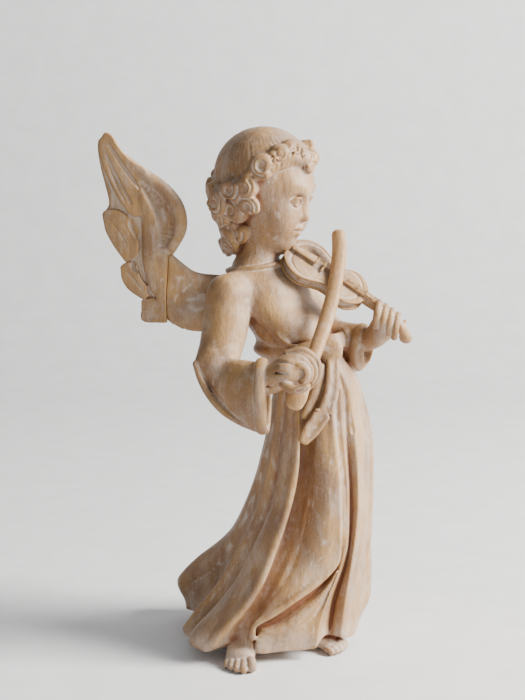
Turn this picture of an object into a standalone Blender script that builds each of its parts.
"""A carved wooden child angel that plays the violin, about 200 mm tall, in five glued pieces.

The figure is laid out in millimetres in the carver's view: X to the right, Y away, Z up, with the
angel turned half right. An empty at the origin then turns every piece so that the angel faces -Y.
"""

import math

import bmesh
import bpy
from mathutils import Matrix, Vector

# Driving dimensions, in millimetres before SCALE
HEIGHT = 200.0
DRAWN_HEIGHT = 200.0
SCALE = 0.001 * HEIGHT / DRAWN_HEIGHT
TURN = math.radians(-45.0)
GAP = 0.35
BODY_VOXEL = 0.7
SMALL_VOXEL = 0.45
SMOOTHING = 3
EASING = 0.5
SIDES = 16
SMALL_SIDES = 12
BOW_SIDES = 8
RING_SIDES = 40
BALL_SEGMENTS = 20
BALL_RINGS = 12
STEEP = 0.8
CAP_SHARES = (0.4, 0.75, 1.0)
CAP_END = 0.1
STEPS = 4

# Triangles that each carving keeps
FIGURE_TRIANGLES = 6400
HAND_TRIANGLES = 700
WING_TRIANGLES = 1150
VIOLIN_TRIANGLES = 700
BOW_TRIANGLES = 200

# The angel's own directions in the carver's view
FRONT = Vector((1.0, -1.0, 0.0)).normalized()
LEFT = Vector((1.0, 1.0, 0.0)).normalized()
AWAY = Vector((0.0, 1.0, 0.0))
UP = Vector((0.0, 0.0, 1.0))
BODY_CENTRE = Vector((0.0, 8.0, 140.0))

# Robe: crest and valley lines from the hem to the waist, in order round the skirt as seen from above,
# each with the bulge of the cloth up to the next line, as a share of its width, and rows (height, X, Y)
SKIRT_LINES = {
    "train edge": (0.15, (
        (0, -31, 40), (6.5, -31.5, 41), (12, -35, 43), (16.5, -35, 42.5), (26.5, -27, 37.5),
        (36, -17, 31), (44.5, -10.5, 25.5), (63, -3.5, 17), (75, 0, 13), (88, 3, 11.5), (104, 5, 9.5))),
    "train lip": (-0.10, (
        (0, -30.5, 37), (8, -31.5, 38.5), (14, -31, 38), (22.5, -21, 31.5), (36.5, -13, 24.5),
        (53, -6, 17.8), (63, -3, 14.5), (80, 2, 9), (104, 5.6, 6))),
    "deep valley": (0.08, (
        (0, -22, 23), (9, -22, 23), (16.5, -18.6, 21.4), (26, -13, 19), (37, -8, 15), (52.5, -2, 10.6),
        (67, 1.8, 7), (80, 4.2, 4.8), (104, 6.6, 3))),
    "small ridge": (-0.04, (
        (0, -29, 9), (7, -30, 8.4), (13, -25.5, 11), (24, -17, 9.5), (35.5, -10.8, 6.6),
        (51.5, -2.8, 3.6), (66, 1.2, 1.4), (82, 4.4, 0.4), (104, 7.4, 0.6))),
    "second valley": (0.14, (
        (0, -27, 4), (8, -28, 3.8), (19.5, -17.2, 4), (31, -9.6, 1.6), (41.5, -4.6, 0.4),
        (52.5, 0.4, -0.6), (66, 4, -1.6), (84, 6.2, -2), (104, 8.6, -1.6))),
    "shoulder": (0.12, (
        (0, -25.5, -4.5), (8, -22.4, -8), (16.5, -15.8, -11.4), (26, -7.8, -13.4), (36, -2.2, -13.2),
        (47, 2, -12.3), (60, 6.8, -10.6), (72, 9.2, -9), (84, 10.6, -7.6), (104, 12, -5))),
    "crest": (-0.05, (
        (0, -22.6, -8), (8, -18.6, -11.2), (13, -15.6, -12.8), (20, -9.6, -14.4), (26.5, -4.8, -15),
        (35, 0, -14.6), (46, 4.2, -13.4), (59, 8.6, -12), (70, 11.3, -10.4), (82.5, 13, -8.8),
        (104, 14, -6.4))),
    "flute": (0.10, (
        (0, -12.5, -8), (9, -11.4, -9.4), (16, -7.6, -10.2), (25.5, -1.8, -9.6), (35.5, 3.4, -8),
        (45, 7.8, -6.2), (57.5, 11.6, -4.8), (70, 13.6, -4.6), (82, 15, -5.2), (104, 16, -6.4))),
    "leg side": (0.12, (
        (0, -6, -10), (12, -6.2, -11.4), (17, -5.4, -12), (24, 1.4, -11.4), (32, 8, -9.6),
        (42, 12.6, -7.4), (57, 16.6, -7.2), (72, 18.2, -8), (88, 19, -8.4), (104, 19, -7.4))),
    "leg front": (0.08, (
        (0, -4.5, -10.4), (12, -4.8, -12.4), (17, -4.2, -13.4), (21, 1.0, -13.6), (26, 8.6, -12.6),
        (30, 14.6, -11.2), (36, 20.4, -10.2), (46, 24, -10.8), (60, 24.6, -11.6), (76, 24.4, -11.4),
        (90, 24, -9.8), (104, 24, -7.9))),
    "swag": (-0.12, (
        (0, -3.6, -10.6), (12, -3.8, -13.2), (17, -3.2, -14.8), (20.5, 3, -14.8), (26, 11.5, -13.4),
        (30, 18.2, -11.2), (34.5, 24.2, -8.2), (40, 28, -7.2), (50, 29.2, -8.6), (70, 28.6, -9.8),
        (88, 27, -9.4), (104, 26, -7.8))),
    "swag groove": (0.12, (
        (0, -2.6, -10.4), (11, -3.0, -10.6), (14.4, -2.2, -10.8), (17, 5.5, -10), (22, 13, -8),
        (26.5, 19.4, -5.4), (33, 26.2, -2.4), (40, 29.2, -4.8), (50, 29.9, -8.0), (70, 29.4, -9.3),
        (88, 27.7, -9.2), (104, 26.6, -7.7))),
    "third band": (0.0, (
        (0, -1.4, -10.6), (8, -2.2, -12.4), (11.5, -1.6, -13.6), (12.8, 3.6, -14.0), (17, 13, -12.2),
        (22.5, 19, -9.6), (29.5, 25.2, -6.2), (36, 28.2, -5.6), (44, 30.2, -6.6), (58, 30.6, -7.4),
        (88, 28.3, -9), (104, 27.2, -7.5))),
    "third band foot": (-0.05, (
        (0, 1, -10.2), (5, 1, -11.2), (8.2, 2.6, -11.8), (9.6, 6.4, -11.6), (13, 13.5, -10),
        (18, 19.4, -7.6), (26, 24.4, -5.6), (34, 28.2, -5), (44, 30.8, -6.2), (58, 31.2, -7),
        (88, 28.9, -8.7), (104, 27.8, -7.3))),
    "right crest": (-0.06, (
        (0, 20, -6.6), (7, 20.4, -7.6), (12, 21, -8.2), (18, 22.4, -8), (25.5, 25, -7),
        (35, 28.9, -6.2), (44, 31.4, -6), (56, 32, -6.4), (70, 31.2, -8), (88, 29.6, -8.4),
        (104, 28.4, -7.1))),
    "hip groove": (0.10, (
        (0, 25.5, 0.5), (9, 25.8, 1.8), (21, 27.6, 2), (32, 30.8, 0.8), (42, 32.8, -1),
        (54, 33.3, -2.4), (70, 32.8, -4.6), (87, 31.2, -6.2), (104, 30, -6))),
    "front ridge": (0.06, (
        (0, 29.6, -0.8), (10.5, 30.2, -1), (26, 32, -2), (39, 33.8, -3.4), (54, 35.4, -4.6),
        (70, 35.4, -6.4), (87, 34, -7), (104, 32, -5.6))),
    "light valley": (0.08, (
        (0, 33, 5), (14, 33.5, 3.6), (32.5, 34.8, 1.6), (41, 36.2, 1.6), (56.5, 38.2, 2),
        (76.5, 38.4, 1.4), (90, 37.4, 0.6), (104, 34.6, -1))),
    "edge groove": (0.15, (
        (0, 36, 17), (14, 40, 20), (38, 40.2, 15), (56, 40.8, 11.5), (77, 40.4, 7), (90, 39.2, 5.2),
        (104, 36, 3))),
    "right edge": (0.12, (
        (0, 34, 24), (5.5, 37, 27), (9, 39.5, 31), (14, 42.8, 32.5), (25, 43, 30), (38, 42.4, 25),
        (49.5, 43, 20), (77.5, 42.4, 13.5), (89.5, 40.8, 10.6), (104, 36.6, 7))),
    "back right valley": (0.12, (
        (0, 33, 35), (25, 35.5, 34), (50, 36, 27), (77, 36, 20), (104, 32.6, 14.5))),
    "back right": (0.14, (
        (0, 33, 48), (20, 35, 45), (45, 35.5, 35), (70, 33.5, 26.5), (104, 28.4, 18.2))),
    "back valley": (0.14, (
        (0, 22, 48), (20, 24.5, 44), (45, 26, 33.5), (70, 26.5, 24.5), (104, 23.6, 17))),
    "back middle": (0.14, (
        (0, 15, 58.5), (20, 17.5, 53.5), (45, 19, 39.5), (70, 19.5, 28.5), (104, 18.6, 18.4))),
    "back left valley": (0.14, (
        (0, 4, 48), (20, 8, 44), (45, 11.5, 33), (70, 13.4, 24.4), (104, 13.6, 16.6))),
    "back left": (0.14, ((0, -8, 56), (20, -4, 51), (45, 3.5, 38.5), (70, 8, 27.5), (104, 9.8, 16.8))),
    "train valley": (0.14, (
        (0, -17, 43), (12, -17.5, 41), (28, -9, 35.5), (45, -2, 28), (70, 4, 21.5), (104, 6.6, 14))),
    "train back": (0.2, (
        (0, -27, 48), (12, -30, 49.5), (22, -25, 45), (36, -13, 37), (52, -5, 29), (70, 0.5, 21.5),
        (104, 5, 12))),
}
SKIRT_TOP = 104.0
SKIRT_STEP = 4.0
CLOTH_STEPS = 5
HEM_HEIGHT = 4.2
BASE_TOP = 8.0
BASE_SHARE = 0.84
BASE_CENTRE = Vector((5.0, 22.0, 0.0))
HIP_CENTRE = Vector((19.5, 5.5, 104.0))
WAIST_CENTRE = Vector((13.5, 5.8, 118.0))
WAIST_SHARE = 0.86
WAIST_RINGS = 4
BLOUSE_CORE = (
    (112.0, 15.0, 5.8, 13.0, 10.5), (118.0, 13.2, 6.0, 14.6, 11.8), (126.0, 10.0, 6.5, 14.0, 11.5),
)

# Trunk, collar and neck
WAIST = (13.5, 5.8, 117.5)
WAISTBAND_RADII = (17.4, 14.0, 4.8)
BLOUSE = ((10.5, 5.0, 126.5), (12.8, 15.8, 9.0))
CHEST = ((4.5, 6.5, 135.5), (11.8, 15.5, 12.5))
BLOUSE_FRONT = (
    (-3.5, 0.6, 137.5, 4.8), (2.5, -2.4, 131.8, 5.8), (9.0, -3.4, 126.8, 6.0), (15.0, -2.8, 124.4, 5.4),
)
BLOUSE_POCKET = (
    (-6.0, -7.8, 128.6, 3.6), (-1.5, -9.8, 124.4, 4.7), (3.0, -11.0, 120.4, 4.9), (7.5, -12.2, 116.8, 4.6),
    (13.0, -13.0, 113.8, 3.2),
)
WAISTBAND = (
    (12.0, -9.2, 118.4, 2.6), (18.0, -8.6, 119.6, 3.0), (24.0, -6.0, 120.6, 3.3), (29.0, -0.6, 121.4, 3.2),
    (31.0, 6.0, 121.6, 3.0),
)
WAISTBAND_THICK = 1.3
SHOULDERS = ((-12.5, -4.0, 138.5, 7.2), (-1.0, 7.5, 140.5, 8.4), (12.5, 20.0, 138.5, 7.2))
COLLAR = ((-1.5, 8.0, 140.0, 12.0), (-2.2, 8.0, 146.0, 9.6))
NECK = ((-2.0, 8.0, 144.0, 8.2), (-1.2, 8.0, 152.0, 7.4), (0.5, 7.6, 162.0, 7.6))

# Arms: wide sleeves with an open mouth
RIGHT_UPPER_ARM = (
    (-12.6, -3.5, 138.0, 7.8), (-13.2, -5.5, 130.0, 8.5), (-14.8, -8.0, 121.0, 8.0),
    (-17.2, -10.5, 113.5, 7.4),
)
RIGHT_SLEEVE = (
    (-17.0, -10.5, 110.0, 7.6), (-14.5, -13.0, 108.0, 8.9), (-8.0, -18.0, 106.4, 10.6),
    (-1.0, -23.5, 104.4, 12.3),
)
RIGHT_SLEEVE_FLAT = 0.62
RIGHT_ELBOW = ((-15.5, -10.5, 118.0, 6.4), (-23.6, -15.0, 115.2, 1.1))
RIGHT_MOUTH = ((-1.5, -23.8, 104.6, 9.2), (9.0, -25.2, 104.4, 10.6))
LEFT_UPPER_ARM = ((12.8, 19.8, 138.0, 7.4), (17.5, 19.5, 131.0, 7.6), (23.0, 17.0, 123.0, 7.8))
LEFT_SLEEVE = ((22.0, 16.5, 121.0, 7.8), (29.0, 12.0, 119.0, 8.2), (36.0, 7.4, 117.8, 8.8))
LEFT_SLEEVE_FLAT = 0.68
MOUTH_FLAT = 0.52
LEFT_MOUTH = ((38.0, 6.0, 118.0, 6.4), (46.0, 0.6, 117.6, 7.2))

# The right sleeve's band: centre, half height and half depth, half width and thickness; the sleeve is
# sawn off square beyond it
CUFF_CENTRE = Vector((0.0, -23.9, 104.6))
CUFF_RADII = (12.5, 8.1)
CUFF_BAND = (2.1, 1.3)
CUFF_POINTS = 12
CUFF_SAW = ((2.2, 88.0), (14.0, 88.0), (14.0, 121.0), (2.2, 121.0))
CUFF_SAW_DEPTHS = (-36.0, -12.5)

# Hands
RIGHT_WRIST = ((-6.0, -19.5, 107.0, 4.2), (2.0, -25.5, 110.5, 5.0), (8.0, -28.5, 114.0, 5.4))
RIGHT_PALM = ((10.5, -28.5, 114.5), (6.4, 4.6, 6.0))
FIST_CENTRE = (12.6, -30.0, 114.0)
FIST_REACH = (7.2, 5.6, 4.0, 2.6)
FIST_DEPTH = (-24.6, -27.4, -30.0, -32.0)
FIST_FROM = math.radians(125.0)
FIST_TO = math.radians(-70.0)
LEFT_WRIST = ((33.0, 10.0, 118.4, 3.8), (40.5, 3.5, 121.5, 4.2), (44.0, 1.2, 125.0, 4.6))
LEFT_PALM = ((44.8, 0.6, 126.6), (4.6, 4.4, 4.6))
LEFT_FINGER = ((41.6, -3.0, 127.6), (41.8, -4.4, 131.4), (42.4, -3.0, 134.8), (43.0, -0.4, 135.4))
LEFT_FINGER_STEP = Vector((2.3, 0.1, -1.55))
FINGERS = 4
FINGER_RADIUS = 1.5

# Feet: soles, flattened, and the root and tip of each toe with its radius
RIGHT_FOOT = ((-6.5, 4.0, 7.0, 6.0), (-7.4, -5.0, 6.4, 5.8), (-8.3, -11.0, 3.4, 5.4))
RIGHT_TOES = (
    ((-4.6, -12.5, 2.6), (-4.0, -18.0, 2.0), 2.0), ((-7.0, -13.2, 2.6), (-7.0, -19.4, 1.6), 1.5),
    ((-9.2, -13.0, 2.4), (-9.4, -18.4, 1.5), 1.4), ((-11.2, -12.0, 2.2), (-11.6, -16.6, 1.4), 1.3),
    ((-12.8, -10.6, 2.0), (-13.4, -14.4, 1.3), 1.2),
)
LEFT_FOOT = ((15.0, 9.0, 6.2, 5.6), (21.0, 6.6, 4.8, 5.0), (25.6, 4.6, 2.8, 4.6))
LEFT_TOES = (
    ((26.6, 6.2, 2.4), (31.4, 5.4, 1.9), 1.9), ((27.0, 4.0, 2.4), (31.0, 2.8, 1.5), 1.4),
    ((26.4, 2.2, 2.2), (29.8, 0.8, 1.4), 1.3), ((25.4, 0.8, 2.0), (28.2, -0.8, 1.3), 1.2),
    ((24.2, -0.2, 1.8), (26.4, -2.0, 1.2), 1.1),
)
FOOT_FLAT = 0.68

# Head: places in it are forward, to the face's left and up from the skull's centre
SKULL_CENTRE = Vector((0.8, 9.0, 181.2))
SKULL_RADII = (19.4, 16.8, 18.4)
FACE_TURN = math.radians(-25.0)
FACE_NOD = math.radians(14.0)
FACE_FORMS = {
    "face": ((6.4, 0, -9.5), (12.4, 12.8, 15.4)),
    "jaw": ((9.0, 0, -17.0), (8.2, 8.8, 8.0)),
    "chin": ((13.6, 0, -22.0), (4.2, 4.4, 3.6)),
    "right cheek": ((11.4, -6.4, -12.4), (6.4, 5.6, 6.4)),
    "left cheek": ((11.4, 6.4, -12.4), (6.4, 5.6, 6.4)),
    "brow": ((13.6, 0, 0.0), (5.0, 9.6, 3.6)),
    "nose": ((18.0, 0, -8.4), (2.4, 1.8, 4.0)),
    "upper lip": ((17.0, 0, -15.0), (1.8, 3.0, 1.1)),
    "lower lip": ((16.4, 0, -17.0), (1.8, 2.6, 1.2)),
}

# Hair: a roll along the hairline, and locks, all by angle from the face in degrees and height above the
# skull's centre; a lock has its radius and its lift off the skull, and the ones at the sides are on both
HAIR_ROLL = (
    (-84, 0.5), (-64, 7.0), (-42, 10.6), (-20, 10.8), (0, 10.4), (20, 10.8), (42, 10.6), (64, 7.0),
    (84, 0.5),
)
ROLL_RADIUS = 2.8
MIDDLE_LOCKS = (
    (0, 10.4, 3.0, 0.6), (-10, 7.4, 2.1, 0.6), (180, -7.4, 4.8, 1.4), (180, -14.4, 5.2, 2.2),
    (180, -22.0, 5.0, 2.2),
)
SIDE_LOCKS = (
    (18, 11.4, 3.1, 0.8), (38, 13.0, 3.5, 0.8), (56, 10.6, 4.0, 0.8), (73, 5.6, 4.4, 1.0),
    (86, -3.6, 4.6, 1.4), (80, -9.4, 3.9, 1.8), (103, -5.4, 4.6, 1.2), (99, -12.4, 5.0, 2.4),
    (120, -10.2, 5.6, 2.8), (138, -9.0, 5.0, 2.0), (137, -16.0, 6.0, 3.6), (106, -19.2, 4.8, 2.8),
    (127, -22.0, 5.4, 3.2), (154, -14.0, 5.6, 2.6), (153, -21.0, 5.2, 2.8), (162, -8.6, 4.8, 1.6),
    (170, -17.6, 5.2, 2.6), (118, -26.4, 4.2, 1.8), (146, -27.0, 4.4, 1.8),
)
LOCK_SHARE = 0.88
LEAST_LEVEL = 0.16

# Sash: the band's knot and its hanging tails
SASH_KNOT = ((25.0, -6.2, 118.6), (4.4, 2.6, 5.8))
SASH_TAILS = {
    "broad": (
        (25.7, -7.4, 115.0, 2.6), (25.5, -9.8, 109.5, 2.7), (24.9, -11.2, 103.0, 3.0),
        (23.0, -11.8, 97.0, 3.2),
    ),
    "broad end": ((21.7, -12.5, 96.0, 3.6), (17.9, -13.0, 90.4, 3.4), (14.9, -12.6, 86.0, 2.3)),
    "narrow": (
        (21.4, -8.2, 113.0, 1.6), (20.9, -9.8, 109.0, 1.7), (18.3, -11.0, 101.5, 1.9),
        (15.2, -11.4, 95.0, 1.5),
    ),
}
SASH_FACING = Vector((-0.3, 1.0, 0.1))
SASH_THICK = 1.15

# Wing: feathers as flat blades in the wing's plane: centre line X, Z and half width, thickness, lift
WING_Y = 8.0
WING_TIP_BACK = 4.0
WING_ROOT_X = -30.0
WING_TIP_X = -60.0
WING_BLADES = {
    "first primary": (((-40, 152, 6.0), (-45, 167, 7.4), (-50.6, 181, 6.8), (-56.6, 193, 4.2)), 2.2, 0.0),
    "outer vane": (((-46, 156, 4.5), (-53.6, 170, 4.6), (-57.6, 182, 3.6), (-59.4, 191, 2.2)), 1.6, 1.6),
    "second feather": (((-40, 144, 6.5), (-48.6, 154.5, 6.6), (-53.4, 162, 6), (-55.2, 165, 5)), 2.1, 0.6),
    "third feather": (((-36, 135, 6.0), (-44.6, 142.0, 5.6), (-48.8, 146.0, 4.6)), 2.0, 1.0),
    "fourth feather": (((-32, 131.6, 5.0), (-37, 131.8, 4.8), (-41.0, 131.6, 4.8)), 1.9, 1.4),
    "covert": (((-34, 136, 6.5), (-37, 150, 7.0), (-40, 163, 5.0), (-42, 171.0, 3.6)), 3.3, 0.0),
}
WING_ROOT = (
    (-8.0, 8.6, 134.0, 10.5), (-17.0, 8.4, 134.5, 10.5), (-27.0, 8.3, 134.6, 10.6),
    (-37.0, 8.2, 139.0, 7.6),
)
WING_ROOT_FLAT = 0.32
WING_FILLET = (
    (-19.0, 8.4, 139.0, 4.6), (-27.0, 8.3, 142.2, 4.2), (-33.6, 8.2, 147.6, 3.8), (-36.0, 8.2, 151.0, 3.0),
)
WING_FILLET_THICK = 2.4
WING_RIM_PROUD = 0.6
WING_RIM = (
    (-50.6, 188.0, 1.5), (-43.4, 182.0, 2.0), (-36.2, 176.4, 2.5), (-31.6, 169.6, 2.8),
    (-30.8, 162.2, 2.7), (-34.0, 155.4, 2.4),
)
SEAM = ((-35.3, 112.0), (-36.0, 138.0), (-34.9, 152.4), (-24.0, 153.4))
SEAM_BEYOND = ((-24.0, 215.0), (-80.0, 215.0), (-80.0, 112.0))
SEAM_INSIDE = ((15.0, 153.8), (15.0, 112.0))
SEAM_SHIFTS = ((-GAP, 0.0), (-GAP, 0.0), (-GAP, GAP), (-GAP, GAP))
SEAM_DEPTHS = (-25.0, 60.0)

# Violin: from its end at the collar to the scroll
VIOLIN_END = Vector((8.8, 5.2, 154.3))
VIOLIN_AXIS = Vector((0.835, -0.127, -0.535)).normalized()
VIOLIN_ACROSS = Vector((0.428, 0.761, 0.488)).normalized()
VIOLIN_UP = VIOLIN_AXIS.cross(VIOLIN_ACROSS)
VIOLIN_THICK = 4.4
VIOLIN_OUTLINE = (
    (0.0, 3.0), (1.5, 6.4), (5.0, 9.4), (9.5, 10.4), (14.0, 8.8), (18.0, 6.6), (21.5, 6.8), (25.0, 8.4),
    (29.0, 8.4), (32.5, 5.6), (34.0, 2.6),
)
PLATE_ARCH = 0.7
VIOLIN_NECK = (28.0, 47.0, 0.8, 1.9)
FINGERBOARD = (12.0, 45.0, 3.2, 1.7)
FINGERBOARD_THICK = 0.9
SCROLL = ((47.0, 0.0, 2.0), (51.2, -1.2, 1.8), (54.2, -3.8, 2.4))

# Bow: top, crossing, fist and lower end; it is wider than it is thick
BOW_LINE = (
    (28.0, 4.4, 160.2, 2.5), (28.2, 2.6, 153.5, 2.7), (27.0, -2.2, 145.0, 2.7),
    (24.8, -8.0, 136.0, 2.7), (21.6, -14.6, 127.0, 2.7), (18.0, -21.4, 118.5, 2.6),
    (14.6, -26.4, 111.0, 2.9), (12.2, -28.8, 105.6, 3.6), (11.2, -29.2, 102.6, 3.0),
)
BOW_THICK = 1.9
BOW_WIDE = Vector((1.0, -0.2, 0.0))

# Everything below the floor plane is sawn off
FLOOR_OUTLINE = ((-90.0, -20.0), (90.0, -20.0), (90.0, 0.0), (-90.0, 0.0))
FLOOR_DEPTHS = (-90.0, 110.0)

WOOD = (0.56, 0.36, 0.20, 1.0)
WOOD_ROUGHNESS = 0.6
BOW_WOOD = (0.62, 0.43, 0.24, 1.0)
BOW_ROUGHNESS = 0.55


def smooth_path(points, steps=STEPS):
    """Points on a curve through the given ones; further numbers, such as a radius, are carried along."""
    knots = [tuple(map(float, p)) for p in points]
    first = tuple(2 * a - b for a, b in zip(knots[0], knots[1]))
    last = tuple(2 * a - b for a, b in zip(knots[-1], knots[-2]))
    knots = [first, *knots, last]
    path = []
    for a, b, c, d in zip(knots, knots[1:], knots[2:], knots[3:]):
        for i in range(steps):
            t = i / steps
            path.append(tuple(catmull_rom(*values, t) for values in zip(a, b, c, d)))
    path.append(knots[-2])
    return path


def catmull_rom(a, b, c, d, t):
    return 0.5 * (2 * b + (c - a) * t + (2 * a - 5 * b + 4 * c - d) * t**2 + (3 * b - a - 3 * c + d) * t**3)


def skin(bm, rings):
    """Joins a row of rings with the same number of points into one closed shell with its faces out."""
    loops = [[bm.verts.new(p) for p in ring] for ring in rings]
    count = len(loops[0])
    faces = [bm.faces.new(loops[0]), bm.faces.new(loops[-1])]
    for low, high in zip(loops, loops[1:]):
        for i in range(count):
            j = (i + 1) % count
            faces.append(bm.faces.new((low[i], low[j], high[j], high[i])))
    bmesh.ops.recalc_face_normals(bm, faces=faces)


def tube(bm, points, wide=None, normal=None, flat=1.0, thick=None, sides=SIDES):
    """A round-ended limb along points (x, y, z, radius), squeezed across its wide direction.

    wide names the direction of the full radius, or normal the thin one; flat is the ratio of the
    two radii, and thick gives the thin one in millimetres instead.
    """
    path = smooth_path(points)
    centres = [Vector(p[:3]) for p in path]
    radii = [p[3] for p in path]
    heads = (centres[0] - centres[1]).normalized(), (centres[-1] - centres[-2]).normalized()
    ends = (centres[0], radii[0]), (centres[-1], radii[-1])
    for share in CAP_SHARES:
        lift, shrink = math.sin(share * math.pi / 2), max(math.cos(share * math.pi / 2), CAP_END)
        centres = [ends[0][0] + heads[0] * ends[0][1] * lift * flat, *centres]
        centres.append(ends[1][0] + heads[1] * ends[1][1] * lift * flat)
        radii = [ends[0][1] * shrink, *radii, ends[1][1] * shrink]
    rings = []
    for i, centre in enumerate(centres):
        along = centres[min(i + 1, len(centres) - 1)] - centres[max(i - 1, 0)]
        across = along.cross(normal) if normal else across_of(along, wide)
        across.normalize()
        thin = along.cross(across).normalized()
        thin *= min(thick, radii[i]) if thick else radii[i] * flat
        ring = []
        for k in range(sides):
            angle = 2 * math.pi * k / sides
            ring.append(centre + across * radii[i] * math.cos(angle) + thin * math.sin(angle))
        rings.append(ring)
    skin(bm, rings)


def across_of(along, wide):
    """The part of the wide direction that is square to the limb."""
    wide = wide or (LEFT if abs(along.normalized().z) > STEEP else UP)
    return wide - along * (wide.dot(along) / along.length_squared)


def ball(bm, centre, radii, axes=None):
    """An ellipsoid with its radii along X, Y and Z, or along the columns of a turn."""
    turn = axes.to_4x4() if axes else Matrix.Identity(4)
    place = Matrix.Translation(Vector(centre)) @ turn @ Matrix.Diagonal((*radii, 1.0))
    bmesh.ops.create_uvsphere(bm, u_segments=BALL_SEGMENTS, v_segments=BALL_RINGS, radius=1.0, matrix=place)


def axes_of(first, second, third):
    return Matrix((first, second, third)).transposed()


def face_axes():
    """Forward, the face's left and up, turned and nodded with the head."""
    return Matrix.Rotation(FACE_TURN, 3, "Z") @ Matrix.Rotation(FACE_NOD, 3, "Y")


def ellipse_ring(z, x, y, wide, deep, count=RING_SIDES):
    ring = []
    for k in range(count):
        angle = 2 * math.pi * k / count
        ring.append(Vector((x + wide * math.cos(angle), y + deep * math.sin(angle), z)))
    return ring


def skirt_section(z):
    """The skirt's outline at a height: its crest and valley lines joined by bulging cloth."""
    knots = [line_place(rows, z) for _, rows in SKIRT_LINES.values()]
    bulges = [bulge for bulge, _ in SKIRT_LINES.values()]
    ring = []
    for start, end, bulge in zip(knots, knots[1:] + knots[:1], bulges):
        chord = end - start
        outward = Vector((chord.y, -chord.x, 0.0))
        for i in range(CLOTH_STEPS):
            t = i / CLOTH_STEPS
            ring.append(start + chord * t + outward * 4.0 * t * (1.0 - t) * bulge)
    return ring


def line_place(rows, z):
    """The place at a height on a crest or valley line."""
    path = smooth_path(rows)
    for low, high in zip(path, path[1:]):
        if z <= high[0]:
            break
    share = min((z - low[0]) / (high[0] - low[0]), 1.0)
    return Vector((low[1] + (high[1] - low[1]) * share, low[2] + (high[2] - low[2]) * share, z))


def add_robe(bm):
    """The folded skirt above its hem, the narrower base that it stands on, and the hips."""
    count = round((SKIRT_TOP - HEM_HEIGHT) / SKIRT_STEP)
    heights = [HEM_HEIGHT + (SKIRT_TOP - HEM_HEIGHT) * i / count for i in range(count + 1)]
    top = skirt_section(SKIRT_TOP)
    waist = [drawn_in(top, i / WAIST_RINGS) for i in range(1, WAIST_RINGS + 1)]
    skin(bm, [skirt_section(z) for z in heights] + waist)
    section = skirt_section(0.0)
    skin(bm, [[base_point(p, z) for p in section] for z in (-HEM_HEIGHT, BASE_TOP)])
    skin(bm, [ellipse_ring(*level) for level in smooth_path(BLOUSE_CORE)])


def drawn_in(section, share):
    """The hips' section moved up and drawn in towards the waist."""
    size = 1.0 - (1.0 - WAIST_SHARE) * share**2
    return [HIP_CENTRE.lerp(WAIST_CENTRE, share) + (p - HIP_CENTRE) * size for p in section]


def base_point(point, z):
    drawn = BASE_CENTRE + (point - BASE_CENTRE) * BASE_SHARE
    return Vector((drawn.x, drawn.y, z))


def add_trunk(bm):
    """Waistband, blouse falling over it, chest, shoulders, collar and neck."""
    body = axes_of(FRONT, LEFT, UP)
    ball(bm, WAIST, WAISTBAND_RADII)
    ball(bm, *BLOUSE, body)
    ball(bm, *CHEST, body)
    tube(bm, BLOUSE_FRONT)
    tube(bm, WAISTBAND, normal=FRONT, thick=WAISTBAND_THICK)
    tube(bm, SHOULDERS)
    tube(bm, COLLAR)
    tube(bm, NECK)


def add_sleeves(bm):
    tube(bm, RIGHT_UPPER_ARM)
    tube(bm, RIGHT_ELBOW)
    tube(bm, RIGHT_SLEEVE, wide=UP, flat=RIGHT_SLEEVE_FLAT)
    add_cuff(bm)
    tube(bm, LEFT_UPPER_ARM)
    tube(bm, LEFT_SLEEVE, wide=UP, flat=LEFT_SLEEVE_FLAT)


def add_cuff(bm):
    """The proud band round the right sleeve's mouth."""
    tall, deep = CUFF_RADII
    width, thick = CUFF_BAND
    points = []
    for i in range(CUFF_POINTS + 1):
        angle = 2 * math.pi * i / CUFF_POINTS
        place = CUFF_CENTRE + Vector((0.0, deep * math.sin(angle), tall * math.cos(angle)))
        points.append((*place, width))
    tube(bm, points, wide=Vector((1.0, 0.0, 0.0)), thick=thick, sides=SMALL_SIDES)


def add_sash(bm):
    ball(bm, *SASH_KNOT)
    for points in SASH_TAILS.values():
        tube(bm, points, normal=SASH_FACING, thick=SASH_THICK)


def add_foot(bm, sole, toes):
    """A flattened sole and its five toes."""
    along = Vector(sole[-1][:3]) - Vector(sole[0][:3])
    tube(bm, sole, wide=along.cross(UP), flat=FOOT_FLAT)
    for root, tip, radius in toes:
        tube(bm, ((*root, radius), (*tip, radius)), sides=SMALL_SIDES)


def add_head(bm):
    """Skull, face, the roll of hair along the hairline and the locks that cover the ears and the nape."""
    turn = face_axes()
    ball(bm, SKULL_CENTRE, SKULL_RADII, turn)
    for place, radii in FACE_FORMS.values():
        ball(bm, SKULL_CENTRE + turn @ Vector(place), radii, turn)
    tube(bm, [(*on_skull(angle, height), ROLL_RADIUS) for angle, height in HAIR_ROLL], sides=SMALL_SIDES)
    locks = list(MIDDLE_LOCKS)
    for angle, *rest in SIDE_LOCKS:
        locks += [(-angle, *rest), (angle, *rest)]
    for angle, height, radius, lift in locks:
        ball(bm, on_skull(angle, height, lift), (radius * LOCK_SHARE,) * 3)


def on_skull(angle, height, lift=0.0):
    """A place on the skull, or lifted off it."""
    forward, left, up = SKULL_RADII
    level = math.sqrt(max(1.0 - (height / up) ** 2, LEAST_LEVEL))
    c, s = math.cos(math.radians(angle)), math.sin(math.radians(angle))
    outward = Vector((c / forward, s / left, height / (2.0 * up**2))).normalized()
    place = Vector((forward * level * c, left * level * s, height)) + outward * lift
    return SKULL_CENTRE + face_axes() @ place


def add_wing_root(bm):
    tube(bm, WING_ROOT, normal=AWAY, flat=WING_ROOT_FLAT)
    tube(bm, WING_FILLET, normal=AWAY, thick=WING_FILLET_THICK)


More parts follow.
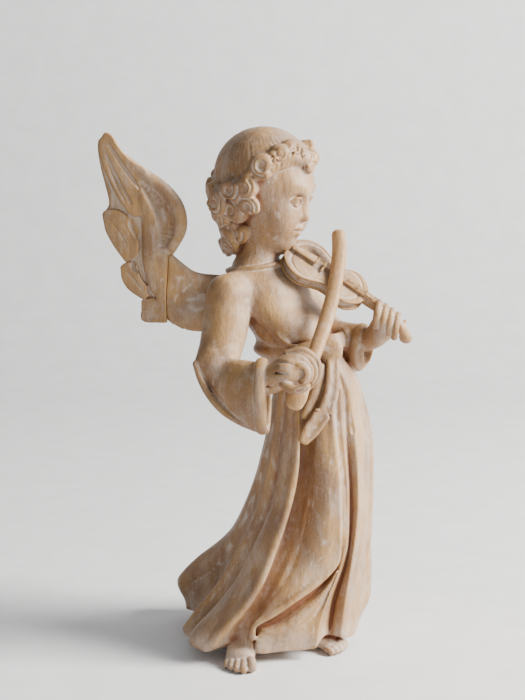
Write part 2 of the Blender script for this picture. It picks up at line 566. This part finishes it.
def add_wing(bm):
    """The right wing: feathers like shingles, a thick covert and a rolled leading rim."""
    add_wing_root(bm)
    for outline, thick, lift in WING_BLADES.values():
        points = [(x, wing_depth(x) + lift, z, half) for x, z, half in outline]
        tube(bm, points, normal=AWAY, thick=thick)
    tube(bm, [(x, wing_depth(x) - WING_RIM_PROUD, z, radius) for x, z, radius in WING_RIM])


def wing_depth(x):
    """The wing bends gently backwards towards its tip."""
    share = (WING_ROOT_X - x) / (WING_ROOT_X - WING_TIP_X)
    return WING_Y + WING_TIP_BACK * max(share, 0.0) ** 2


def add_right_hand(bm):
    """Wrist, palm and four fingers curled round the bow, one arc inside the other."""
    tube(bm, RIGHT_WRIST)
    ball(bm, *RIGHT_PALM)
    x, _, z = FIST_CENTRE
    for reach, depth in zip(FIST_REACH, FIST_DEPTH):
        points = []
        for step in range(FINGERS + 1):
            angle = FIST_FROM + (FIST_TO - FIST_FROM) * step / FINGERS
            points.append((x + reach * math.cos(angle), depth, z + reach * math.sin(angle), FINGER_RADIUS))
        tube(bm, points, sides=SMALL_SIDES)


def add_left_hand(bm):
    """Wrist, palm under the violin's neck and four fingers laid over it."""
    tube(bm, LEFT_WRIST)
    ball(bm, *LEFT_PALM)
    for i in range(FINGERS):
        shift = LEFT_FINGER_STEP * i
        tube(bm, [(*(Vector(p) + shift), FINGER_RADIUS) for p in LEFT_FINGER], sides=SMALL_SIDES)


def violin_point(along, across=0.0, lift=0.0):
    """A place on the violin: along its axis, across it and above its mid plane."""
    return VIOLIN_END + VIOLIN_AXIS * along + VIOLIN_ACROSS * across + VIOLIN_UP * lift


def violin_bar(bar):
    """The two ends of a straight bar along the violin."""
    start, end, lift, radius = bar
    return [(*violin_point(along, 0.0, lift), radius) for along in (start, end)]


def add_violin(bm):
    """Waisted body with an arched plate, neck with fingerboard, pegbox and a dropped scroll."""
    rings = []
    for along, half in smooth_path(VIOLIN_OUTLINE):
        edge = VIOLIN_THICK / 2
        crown = edge + PLATE_ARCH
        profile = (
            (-half, -edge), (half, -edge), (half, edge), (half / 2, crown), (-half / 2, crown), (-half, edge),
        )
        rings.append([violin_point(along, across, lift) for across, lift in profile])
    skin(bm, rings)
    tube(bm, violin_bar(VIOLIN_NECK), sides=SMALL_SIDES)
    tube(bm, violin_bar(FINGERBOARD), normal=VIOLIN_UP, thick=FINGERBOARD_THICK, sides=SMALL_SIDES)
    tube(bm, [(*violin_point(t, 0.0, lift), radius) for t, lift, radius in SCROLL], sides=SMALL_SIDES)


def add_bow(bm):
    tube(bm, BOW_LINE, wide=BOW_WIDE, thick=BOW_THICK, sides=BOW_SIDES)


def mirrored(bm):
    """Turns the angel's right side into its left one."""
    reflect = Matrix.Identity(3)
    for i in range(3):
        for j in range(3):
            reflect[i][j] -= 2.0 * LEFT[i] * LEFT[j]
    place = Matrix.Translation(BODY_CENTRE) @ reflect.to_4x4() @ Matrix.Translation(-BODY_CENTRE)
    bmesh.ops.transform(bm, matrix=place, verts=bm.verts)
    bmesh.ops.reverse_faces(bm, faces=bm.faces)


def material(name, colour, roughness):
    wood = bpy.data.materials.new(name)
    wood.use_nodes = True
    shader = wood.node_tree.nodes["Principled BSDF"]
    shader.inputs["Base Color"].default_value = colour
    shader.inputs["Roughness"].default_value = roughness
    return wood


def new_object(name, builders, root, mirror=False):
    """One object from shells that builder functions add, scaled to metres."""
    bm = bmesh.new()
    for build in builders:
        build(bm)
    if mirror:
        mirrored(bm)
    bmesh.ops.scale(bm, vec=(SCALE, SCALE, SCALE), verts=bm.verts)
    mesh = bpy.data.meshes.new(name)
    bm.to_mesh(mesh)
    bm.free()
    obj = bpy.data.objects.new(name, mesh)
    bpy.context.collection.objects.link(obj)
    obj.parent = root
    return obj


def carve(obj, voxel, triangles):
    """Fuses an object's shells into one skin, eases it and thins it to a number of triangles."""
    remesh = obj.modifiers.new("fuse", "REMESH")
    remesh.mode = "VOXEL"
    remesh.voxel_size = voxel * SCALE
    ease = obj.modifiers.new("ease", "SMOOTH")
    ease.factor = EASING
    ease.iterations = SMOOTHING
    faces = evaluated_triangles(obj)
    thin = obj.modifiers.new("thin", "DECIMATE")
    thin.ratio = min(1.0, triangles / faces)
    return obj


def evaluated_triangles(obj):
    graph = bpy.context.evaluated_depsgraph_get()
    mesh = obj.evaluated_get(graph).to_mesh()
    mesh.calc_loop_triangles()
    return len(mesh.loop_triangles)


def hide_helper(obj):
    obj.hide_render = True
    obj.display_type = "WIRE"
    return obj


def combine(obj, other, operation):
    step = obj.modifiers.new(f"{operation.lower()} {other.name}", "BOOLEAN")
    step.operation = operation
    step.object = other
    step.solver = "EXACT"


def prism(name, outline, depths, root, mirror=False):
    """A cutter from an outline in X and Z, extruded in Y."""
    def add(bm):
        skin(bm, [[Vector((x, depth, z)) for x, z in outline] for depth in depths])
    return hide_helper(new_object(name, [add], root, mirror))


def seam_cutters(side, root, mirror):
    """The two prisms that part a wing from its root on either side of the glue seam."""
    shifted = [(x + right, z + up) for (x, z), (right, up) in zip(SEAM, SEAM_SHIFTS)]
    beyond = prism(f"{side} beyond seam", (*SEAM, *SEAM_BEYOND), SEAM_DEPTHS, root, mirror)
    inside = prism(f"{side} inside seam", (*shifted, *SEAM_INSIDE), SEAM_DEPTHS, root, mirror)
    return beyond, inside


def clearance(name, source, root):
    """A cutter that follows another piece at the glue gap."""
    cutter = source.copy()
    cutter.name = name
    bpy.context.collection.objects.link(cutter)
    cutter.parent = root
    grow = cutter.modifiers.new("grow", "DISPLACE")
    grow.strength = GAP * SCALE
    grow.mid_level = 0.0
    return hide_helper(cutter)


def hollow_cutter(name, points, root, flat=1.0):
    """The hollow of a sleeve's open end, or of the pocket under the blouse."""
    def add(bm):
        tube(bm, points, wide=UP, flat=flat)
    return hide_helper(new_object(name, [add], root))


def add_left_wing_root(bm):
    """The mirror image of the right wing's root, added to shells already there."""
    part = bmesh.new()
    add_wing_root(part)
    mirrored(part)
    mesh = bpy.data.meshes.new("left wing root")
    part.to_mesh(mesh)
    part.free()
    bm.from_mesh(mesh)
    bpy.data.meshes.remove(mesh)


def add_feet(bm):
    add_foot(bm, RIGHT_FOOT, RIGHT_TOES)
    add_foot(bm, LEFT_FOOT, LEFT_TOES)


FIGURE_PARTS = (
    add_robe, add_trunk, add_sleeves, add_sash, add_feet, add_head, add_wing_root, add_left_wing_root,
)


def build_angel():
    root = bpy.data.objects.new("angel", None)
    bpy.context.collection.objects.link(root)
    wood = material("carved_wood", WOOD, WOOD_ROUGHNESS)
    bow_wood = material("bow_wood", BOW_WOOD, BOW_ROUGHNESS)

    violin = carve(new_object("violin", [add_violin], root), SMALL_VOXEL, VIOLIN_TRIANGLES)
    bow = carve(new_object("bow", [add_bow], root), SMALL_VOXEL, BOW_TRIANGLES)

    wings = {}
    seams = {}
    for side, mirror in (("right", False), ("left", True)):
        wing = carve(new_object(f"{side}_wing", [add_wing], root, mirror), BODY_VOXEL, WING_TRIANGLES)
        seams[side], inside = seam_cutters(side, root, mirror)
        combine(wing, inside, "DIFFERENCE")
        wings[side] = wing

    figure = carve(new_object("figure", FIGURE_PARTS, root), BODY_VOXEL, FIGURE_TRIANGLES)
    floor = prism("floor", FLOOR_OUTLINE, FLOOR_DEPTHS, root)
    combine(figure, floor, "DIFFERENCE")
    for side in ("right", "left"):
        combine(figure, seams[side], "DIFFERENCE")
    combine(figure, hollow_cutter("blouse pocket", BLOUSE_POCKET, root), "DIFFERENCE")
    combine(figure, prism("cuff saw", CUFF_SAW, CUFF_SAW_DEPTHS, root), "DIFFERENCE")
    for name, points in (("right mouth", RIGHT_MOUTH), ("left mouth", LEFT_MOUTH)):
        combine(figure, hollow_cutter(name, points, root, MOUTH_FLAT), "DIFFERENCE")
    for name, build in (("right hand", add_right_hand), ("left hand", add_left_hand)):
        hand = carve(new_object(name, [build], root), SMALL_VOXEL, HAND_TRIANGLES)
        combine(figure, hide_helper(hand), "UNION")
    combine(figure, clearance("violin clearance", violin, root), "DIFFERENCE")
    combine(figure, clearance("bow clearance", bow, root), "DIFFERENCE")
    combine(violin, clearance("bow passage", bow, root), "DIFFERENCE")

    for piece in (figure, violin, *wings.values()):
        piece.data.materials.append(wood)
    bow.data.materials.append(bow_wood)
    root.rotation_euler = (0.0, 0.0, TURN)


for old in list(bpy.data.objects):
    bpy.data.objects.remove(old)
build_angel()
